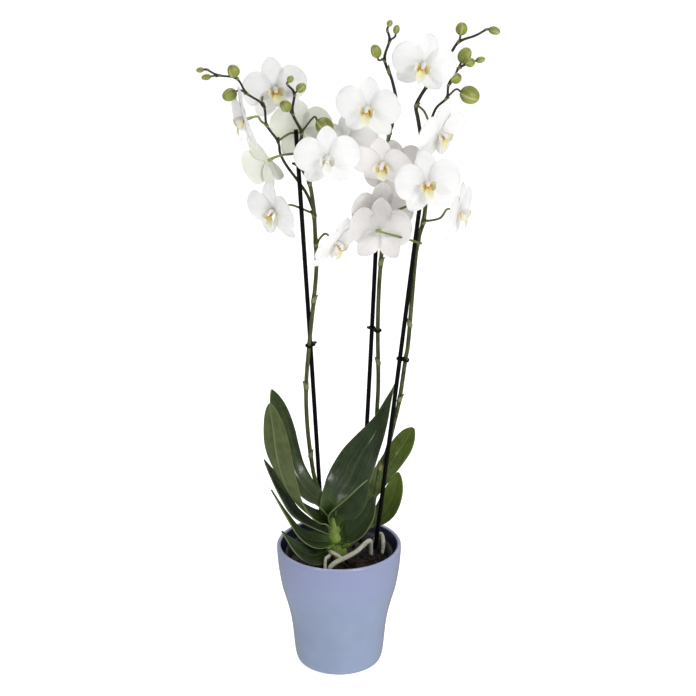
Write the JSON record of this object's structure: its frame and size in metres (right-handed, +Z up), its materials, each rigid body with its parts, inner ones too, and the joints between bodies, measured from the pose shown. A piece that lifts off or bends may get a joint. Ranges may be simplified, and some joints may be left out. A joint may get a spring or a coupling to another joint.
{
  "type": "potted orchid",
  "caption": "Potted moth orchid: arching staked spikes of white flowers and buds over strap leaves, in a clear grow pot with bark inside a waisted glazed cover pot.",
  "frame": {"origin": "centre of the cover pot's flat underside, on the surface it stands on", "axes": "+Z up along the pot's axis and the plant's height; the front, where most flowers look, is -Y; +X is to the right seen from the front"},
  "size_m": [0.3133, 0.139, 0.7392],
  "materials": {
    "ceramic_pot": "glossy lavender-blue glaze",
    "grow_pot": "clear, slightly milky thin plastic",
    "bark_mix": "loose orchid bark chips",
    "crown": "bright green, satin",
    "leaf_01": "dark green, waxy gloss",
    "leaf_02": "dark green, waxy gloss",
    "leaf_03": "dark green, waxy gloss",
    "leaf_04": "dark green, waxy gloss",
    "leaf_05": "dark green, waxy gloss",
    "leaf_06": "dark green, waxy gloss",
    "leaf_07": "dark green, waxy gloss",
    "leaf_08": "dark green, waxy gloss",
    "leaf_09": "dark green, waxy gloss",
    "leaf_10": "dark green, waxy gloss",
    "root_01": "matt silvery skin",
    "root_02": "matt silvery skin",
    "root_03": "matt silvery skin",
    "root_04": "matt silvery skin",
    "spike_left": "olive green to purplish brown, satin",
    "spike_centre": "olive green to purplish brown, satin",
    "spike_right": "olive green to purplish brown, satin",
    "stake_left": "black, satin",
    "stake_centre": "black, satin",
    "stake_right": "black, satin",
    "clip_left_low": "black, satin",
    "clip_left_high": "black, satin",
    "clip_centre": "black, satin",
    "clip_right": "black, satin",
    "flower_01": "white, soft satin, thin enough to let light through",
    "flower_02": "white, soft satin, thin enough to let light through",
    "flower_03": "white, soft satin, thin enough to let light through",
    "flower_04": "white, soft satin, thin enough to let light through",
    "flower_05": "white, soft satin, thin enough to let light through",
    "flower_06": "white, soft satin, thin enough to let light through",
    "flower_07": "white, soft satin, thin enough to let light through",
    "flower_08": "white, soft satin, thin enough to let light through",
    "flower_09": "white, soft satin, thin enough to let light through",
    "flower_10": "white, soft satin, thin enough to let light through",
    "flower_11": "white, soft satin, thin enough to let light through",
    "flower_12": "white, soft satin, thin enough to let light through",
    "flower_13": "white, soft satin, thin enough to let light through",
    "flower_14": "white, soft satin, thin enough to let light through",
    "flower_15": "white, soft satin, thin enough to let light through",
    "flower_16": "white, soft satin, thin enough to let light through",
    "flower_17": "white, soft satin, thin enough to let light through"
  },
  "bodies": {
    "root": {"ceramic_pot": "ceramic_pot", "grow_pot": "grow_pot", "bark_mix": "bark_mix", "crown": "crown", "leaf_01": "leaf_01", "leaf_02": "leaf_02", "leaf_03": "leaf_03", "leaf_04": "leaf_04", "leaf_05": "leaf_05", "leaf_06": "leaf_06", "leaf_07": "leaf_07", "leaf_08": "leaf_08", "leaf_09": "leaf_09", "leaf_10": "leaf_10", "root_01": "root_01", "root_02": "root_02", "root_03": "root_03", "root_04": "root_04", "spike_left": "spike_left", "spike_centre": "spike_centre", "spike_right": "spike_right", "stake_left": "stake_left", "stake_centre": "stake_centre", "stake_right": "stake_right", "clip_left_low": "clip_left_low", "clip_left_high": "clip_left_high", "clip_centre": "clip_centre", "clip_right": "clip_right", "flower_01": "flower_01", "flower_02": "flower_02", "flower_03": "flower_03", "flower_04": "flower_04", "flower_05": "flower_05", "flower_06": "flower_06", "flower_07": "flower_07", "flower_08": "flower_08", "flower_09": "flower_09", "flower_10": "flower_10", "flower_11": "flower_11", "flower_12": "flower_12", "flower_13": "flower_13", "flower_14": "flower_14", "flower_15": "flower_15", "flower_16": "flower_16", "flower_17": "flower_17"}
  },
  "joints": []
}
